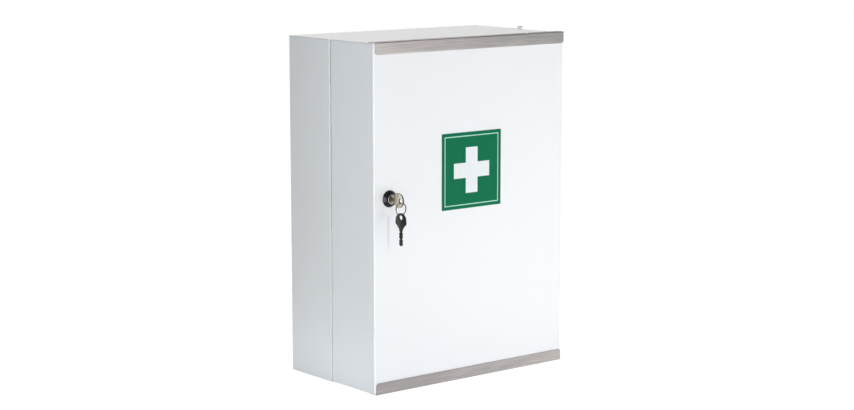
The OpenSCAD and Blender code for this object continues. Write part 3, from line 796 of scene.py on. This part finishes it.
def key_outline():
    """The edge of a key: a round bow, a shoulder and a blade that is cut on both sides."""
    downs = [BOW_R * (1 - math.cos(math.radians(turn))) for turn in range(0, 90, 6)]
    downs += [BOW_R + 0.6 * step for step in range(18)]
    side = [(key_half_width(down), down) for down in downs]
    side += [(3.5, SHOULDER), (BLADE_HALF, SHOULDER + 0.7)]
    notches = 4
    shallow = 0.64
    deep = 1.41
    pitch = (KEY_LENGTH - SHOULDER) / (notches + 1)
    for notch in range(1, notches + 1):
        middle = SHOULDER + pitch * notch
        depth = shallow if notch % 2 == 0 else deep
        floor = BLADE_HALF - depth
        side += [(BLADE_HALF, middle - depth - 0.15), (floor, middle - 0.25), (floor, middle + 0.25),
                 (BLADE_HALF, middle + depth + 0.15)]
    side += [(BLADE_HALF, KEY_LENGTH - 2.1), (1.5, KEY_LENGTH - 0.6), (0.65, KEY_LENGTH)]
    right = [Vector((width, -down)) for width, down in side]
    left = [Vector((-width, -down)) for width, down in reversed(side[1:])]
    return right + left


def key_shape():
    """A key in the XY plane, its bow at the top: rounded edges, a pressed panel and milled grooves."""
    shape = plate([key_outline(), circle(3.5, 0, -BOW_HOLE_DOWN)], 2, 0.22)
    groove = filleted([(-0.55, -19.9, 0.5), (0.55, -19.9, 0.5), (0.55, -39.2, 0.5), (-0.55, -39.2, 0.5)], 4)
    panel = filleted([(-5.6, -11.2, 1.6), (5.6, -11.2, 1.6), (3.4, -15.6, 1.2), (-3.4, -15.6, 1.2)], 5)
    for outline, sunk in ((groove, 0.4), (panel, 0.14)):
        for side in (-1, 1):
            tool = plate([outline], 1.2, 0.1)
            tool.transform(at(0, 0, side * (1.6 - sunk)))
            shape = cut(shape, tool)
    return shape


def keys():
    in_lock = key_shape()
    spare = in_lock.copy()
    lying = Matrix.Rotation(math.radians(-90), 4, "Y") @ Matrix.Rotation(math.radians(180), 4, "X")
    in_lock.transform(at(LOCK_X, KEY_TOP_Y, LOCK_Z, lying))
    fitted("lock_key", in_lock, "key_nickel", "key", "key")
    turn = Matrix.Rotation(math.radians(SPARE_TWIST - 90), 4, "Z") @ Matrix.Rotation(math.radians(90), 4, "X")
    spare.transform(at(LOCK_X, KEY_HOLE_Y, SPARE_TOP_Z, turn))
    fitted("hanging_key", spare, "dark_key", "spare_key", "spare_key")


def split_ring():
    """Two flat turns of spring wire with a step across between them, where both ends stop."""
    section = filleted([(-0.48, -0.32, 0.2), (0.48, -0.32, 0.2), (0.48, 0.32, 0.2), (-0.48, 0.32, 0.2)], 3)
    ring_r = 7.85
    step_turn = 34
    ends_at = 205
    half_pitch = 0.345
    points = []
    faces = []
    rows = 180
    for row in range(rows + 1):
        degrees = step_turn / 2 + (720 - step_turn) * row / rows
        across = min(max((degrees - 360) / step_turn + 0.5, 0.0), 1.0)
        across = half_pitch * (2 * across * across * (3 - 2 * across) - 1)
        turn = math.radians(degrees + ends_at)
        for out, along in section:
            radius = ring_r + out
            points.append(Vector((radius * math.cos(turn), along + across, radius * math.sin(turn))) * MM)
    around = len(section)
    for row in range(rows):
        for i in range(around):
            after = (i + 1) % around
            low = row * around
            faces.append((low + i, low + after, low + around + after, low + around + i))
    faces.append(tuple(range(around)))
    faces.append(tuple(rows * around + i for i in range(around)))
    mesh = bpy.data.meshes.new("ring")
    mesh.from_pydata(points, [], faces)
    mesh.transform(at(LOCK_X, KEY_HOLE_Y, RING_Z))
    fitted("split_ring", cleaned(mesh), "nickel", "key_ring", "key_ring", finish_name="spring_steel")


# ---- Rivets, hinge pin, buffers and rails ----

def rivet_tail(tail):
    """The profile of a shank of that length with its bulged end."""
    return [(RIVET_R, -tail, 0), (2.55, -tail, 0.2), (2.4, -tail - 0.6, 0.5), (1.2, -tail - 0.98, 0.6),
            (0, -tail - 1, 0)]


def blind_rivet(tail):
    """A blind rivet: its domed head with the broken pin in it, its shank and its bulged tail."""
    head = [(0, 0.7, 0), (0.75, 0.7, 0.05), (0.85, 0.92, 0.1), (1.5, 0.94, 0.6), (2.35, 0.5, 0.7),
            (2.6, 0.1, 0.1), (2.6, 0, 0), (RIVET_R, 0, 0)]
    return turned(filleted(head + rivet_tail(tail), 4), 40)


def flush_rivet(tail):
    """A rivet that is flush outside, with a bulged tail inside."""
    head = [(0, -0.02, 0), (1.2, -0.02, 0), (RIVET_R, -0.12, 0)]
    return turned(filleted(head + rivet_tail(tail), 4), 40)


def rivets():
    strip_y = DOOR_FRONT + 7
    sides = (-STRIP_RIVET_X, STRIP_RIVET_X)
    top = blind_rivet(2.2)
    fitted("strip_rivets", joined([(top, at(x, strip_y, TOP_Z + 1)) for x in sides]),
           "rivet_aluminium", "door", "strip_rivets_top")
    flush = flush_rivet(2.2)
    fitted("flush_rivets", joined([(flush, at(x, strip_y, BASE_Z, UPSIDE_DOWN)) for x in sides]),
           "rivet_aluminium", "door", "strip_rivets_bottom")
    leaf_foot = BASE_Z + 5
    pitch = (TOP_Z - leaf_foot) / RIVETS_IN_LEAF
    heights = [leaf_foot + pitch * (rivet + 0.5) for rivet in range(RIVETS_IN_LEAF)]
    leaf = flush_rivet(2.1)
    on_body = [at(LEAF_RIVET_X, BODY_FRONT - 0.9, z, FACING_FRONT) for z in heights]
    fitted("body_leaf_rivets", joined([(leaf, place) for place in on_body]),
           "zinc_steel", "cabinet_body", "hinge_rivets_body")
    on_door = [at(LEAF_RIVET_X, DOOR_REAR + 0.9, z, FACING_WALL) for z in heights]
    fitted("door_leaf_rivets", joined([(leaf, place) for place in on_door]),
           "zinc_steel", "door", "hinge_rivets_door")
    low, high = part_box("keeper_rivets")
    keeper_x = (low[0] + high[0]) / 2 / MM
    foot = blind_rivet(2.7)
    heights = (low[2] / MM + 2.6, high[2] / MM - 2.6)
    on_keeper = [at(keeper_x, BODY_FRONT - 1.5, z, FACING_FRONT) for z in heights]
    fitted("keeper_blind_rivets", joined([(foot, place) for place in on_keeper]),
           "zinc_steel", "cabinet_body", "keeper_rivets")


def hinge_pin():
    """The long pin, with a domed head above and a turned foot below."""
    foot = BASE_Z + 3.7
    head = TOP_Z - 0.2
    profile = [(0, foot, 0), (2.9, foot, 0.3), (3.2, foot + 0.7, 0.3), (3.2, foot + 1.5, 0.1),
               (2.5, foot + 1.5, 0), (2.5, head, 0), (3.9, head, 0.15), (3.9, head + 3, 0.8),
               (0, head + 3, 0)]
    pin = turned(filleted(profile))
    pin.transform(at(HINGE_X, SEAM_MIDDLE, 0))
    fitted("pin", pin, "zinc_steel", "cabinet_body", "hinge_pin", finish_name="tumbled_zinc")


def lip_buffers():
    """Moulded rubber buffers with a soft edge and a dimple, stuck on the body's lip."""
    button = turned(filleted([(0, 0, 0), (4, 0, 0.1), (3.9, 1.2, 0.5), (3.4, 1.8, 0.5), (1.3, 1.8, 0.2),
                              (1.0, 1.5, 0.2), (0, 1.5, 0)], 4), 48)
    beside = LOCK_SIDE + 6
    places = [(beside, -BUFFER_UP), (beside, BUFFER_UP), (0, BASE_Z + 6), (0, TOP_Z - 6)]
    fitted("rubber_buffers", joined([(button, at(x, BODY_FRONT, z, FACING_FRONT)) for x, z in places]),
           "grey_rubber", "cabinet_body", "buffers")


def rails():
    """Rods that keep bottles in the door, with a pressed collar at each end."""
    wall = -LOCK_SIDE - 1.2
    end = [(0, -wall, 0), (3.2, -wall, 0.1), (3.2, 1.2 - wall, 0.4), (2.3, 2.4 - wall, 0.4),
           (2, 4.8 - wall, 0.5)]
    other = [(radius, -along, fillet) for radius, along, fillet in reversed(end)]
    rod = turned(filleted(end + other, 4), 48)
    for node, z in RAIL_HEIGHTS.items():
        mesh = rod.copy()
        mesh.transform(at(0, DOOR_REAR - 4.8, z, Matrix.Rotation(math.radians(90), 4, "Y")))
        fitted(node + "_rod", mesh, "chrome_wire", "door", node)


# ---- Sheet metal with its edges rounded ----

def sheet_metal(frame):
    for node, slot, body, edge in (("body_shelf_lower", "white_steel", "cabinet_body", 0.3),
                                   ("body_shelf_upper", "white_steel", "cabinet_body", 0.3),
                                   ("back_panel", "white_steel", "cabinet_body", 0.2),
                                   ("keeper", "zinc_steel", "cabinet_body", 0.3),
                                   ("door_shelf_lower", "white_steel", "door", 0.3),
                                   ("door_shelf_upper", "white_steel", "door", 0.3)):
        mesh = levelled(softened(frame["nodes"][node], edge))
        fitted(node + "_sheet", mesh, slot, body, node)


def strips(frame):
    """The stainless strips, each a little short of the door's edge on the lock side."""
    shortened = 1.1
    for node in ("strip_top", "strip_bottom"):
        mesh = softened(frame["nodes"][node], 0.2)
        for vertex in mesh.vertices:
            if vertex.co.x < (LOCK_SIDE + 10) * MM:
                vertex.co.x += shortened * MM
        fitted(node + "_sheet", mesh, "brushed_stainless", "door", node)


# ---- Studio ----

def stand_camera():
    lens = bpy.data.cameras.new("camera")
    lens.sensor_width = SENSOR_WIDTH_MM
    lens.lens = FOCAL_LENGTH_PX / PICTURE_WIDTH_PX * SENSOR_WIDTH_MM
    lens.clip_start = 0.05
    camera = bpy.data.objects.new("camera", lens)
    level = math.cos(CAMERA_PITCH)
    ahead = Vector((math.sin(CAMERA_YAW) * level, math.cos(CAMERA_YAW) * level, math.sin(CAMERA_PITCH)))
    camera.location = CAMERA_PLACE
    camera.rotation_euler = ahead.to_track_quat("-Z", "Y").to_euler()
    bpy.context.scene.collection.objects.link(camera)
    bpy.context.scene.camera = camera


def seen_directly(s):
    """1 for rays that show a surface as it is, to the camera, in a reflection or through glass; and 1
    for those in a reflection alone."""
    camera = s.add("ShaderNodeLightPath", {}, {}, "Is Camera Ray")
    glossy = s.add("ShaderNodeLightPath", {}, {}, "Is Glossy Ray")
    through = s.add("ShaderNodeLightPath", {}, {}, "Is Transmission Ray")
    return (camera + glossy + through).clamped(), glossy


def light_world():
    """A white room that lights the cabinet dimly, and whose ceiling is darker in reflections."""
    world = bpy.data.worlds.new("room")
    bpy.context.scene.world = world
    s = Shader(world)
    direct, glossy = seen_directly(s)
    up = s.part_of(s.add("ShaderNodeTexCoord", {}, {}, "Generated"), "Z")
    ceiling = ramp(s, up, CEILING_STARTS, CEILING_FULL) * glossy
    seen = 1 - ceiling * (1 - CEILING_SEEN)
    strength = direct * seen + (1 - direct) * ROOM_LIGHT
    s.surface(s.add("ShaderNodeBackground", {}, {"Color": WHITE, "Strength": strength}),
              "ShaderNodeOutputWorld")


def lay_floor(height):
    mesh = bpy.data.meshes.new("floor")
    corners = [(x * FLOOR_HALF, y * FLOOR_HALF, height) for x, y in ((-1, -1), (1, -1), (1, 1), (-1, 1))]
    mesh.from_pydata(corners, [], [(0, 1, 2, 3)])
    material = bpy.data.materials.new("floor_paint")
    s = Shader(material)
    direct, _ = seen_directly(s)
    matt = s.add("ShaderNodeBsdfDiffuse", {}, {"Color": FLOOR_COLOUR})
    shade = s.add("ShaderNodeBsdfDiffuse", {}, {"Color": FLOOR_SHADE})
    glow = s.add("ShaderNodeEmission", {}, {"Color": WHITE, "Strength": FLOOR_GLOW})
    white = s.add("ShaderNodeAddShader", {}, {0: shade, 1: glow})
    s.surface(s.add("ShaderNodeMixShader", {}, {0: direct, 1: matt, 2: white}))
    mesh.materials.append(material)
    floor = bpy.data.objects.new("floor", mesh)
    bpy.context.scene.collection.objects.link(floor)


def soft_box(name, place, aim, width, height, colour, watts):
    lamp = bpy.data.lights.new(name, "AREA")
    lamp.shape = "RECTANGLE"
    lamp.size = width
    lamp.size_y = height
    lamp.color = colour
    lamp.energy = watts
    box = bpy.data.objects.new(name, lamp)
    box.location = place
    box.rotation_euler = (Vector(aim) - Vector(place)).to_track_quat("-Z", "Y").to_euler()
    box.visible_camera = False
    box.visible_glossy = False
    bpy.context.scene.collection.objects.link(box)


def light_studio():
    light_world()
    for lamp in LAMPS:
        soft_box(*lamp)


# ---- The whole ----

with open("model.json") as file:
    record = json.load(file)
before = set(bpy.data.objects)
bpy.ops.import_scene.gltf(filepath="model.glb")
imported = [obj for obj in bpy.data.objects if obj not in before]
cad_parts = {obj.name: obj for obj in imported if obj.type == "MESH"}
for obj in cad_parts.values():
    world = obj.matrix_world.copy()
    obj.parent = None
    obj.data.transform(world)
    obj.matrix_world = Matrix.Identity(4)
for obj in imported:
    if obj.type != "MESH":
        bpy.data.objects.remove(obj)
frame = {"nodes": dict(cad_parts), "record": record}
cad_low, cad_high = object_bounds()
stand_camera()
bpy.context.scene.view_settings.view_transform = "Standard"
light_studio()
lay_floor(cad_low[2] - 0.2 * MM)
dress_frame(frame)
lock_rosette()
lock_barrel()
lock_nut()
cam_and_screw()
keys()
split_ring()
rivets()
hinge_pin()
lip_buffers()
rails()
sheet_metal(frame)
strips(frame)
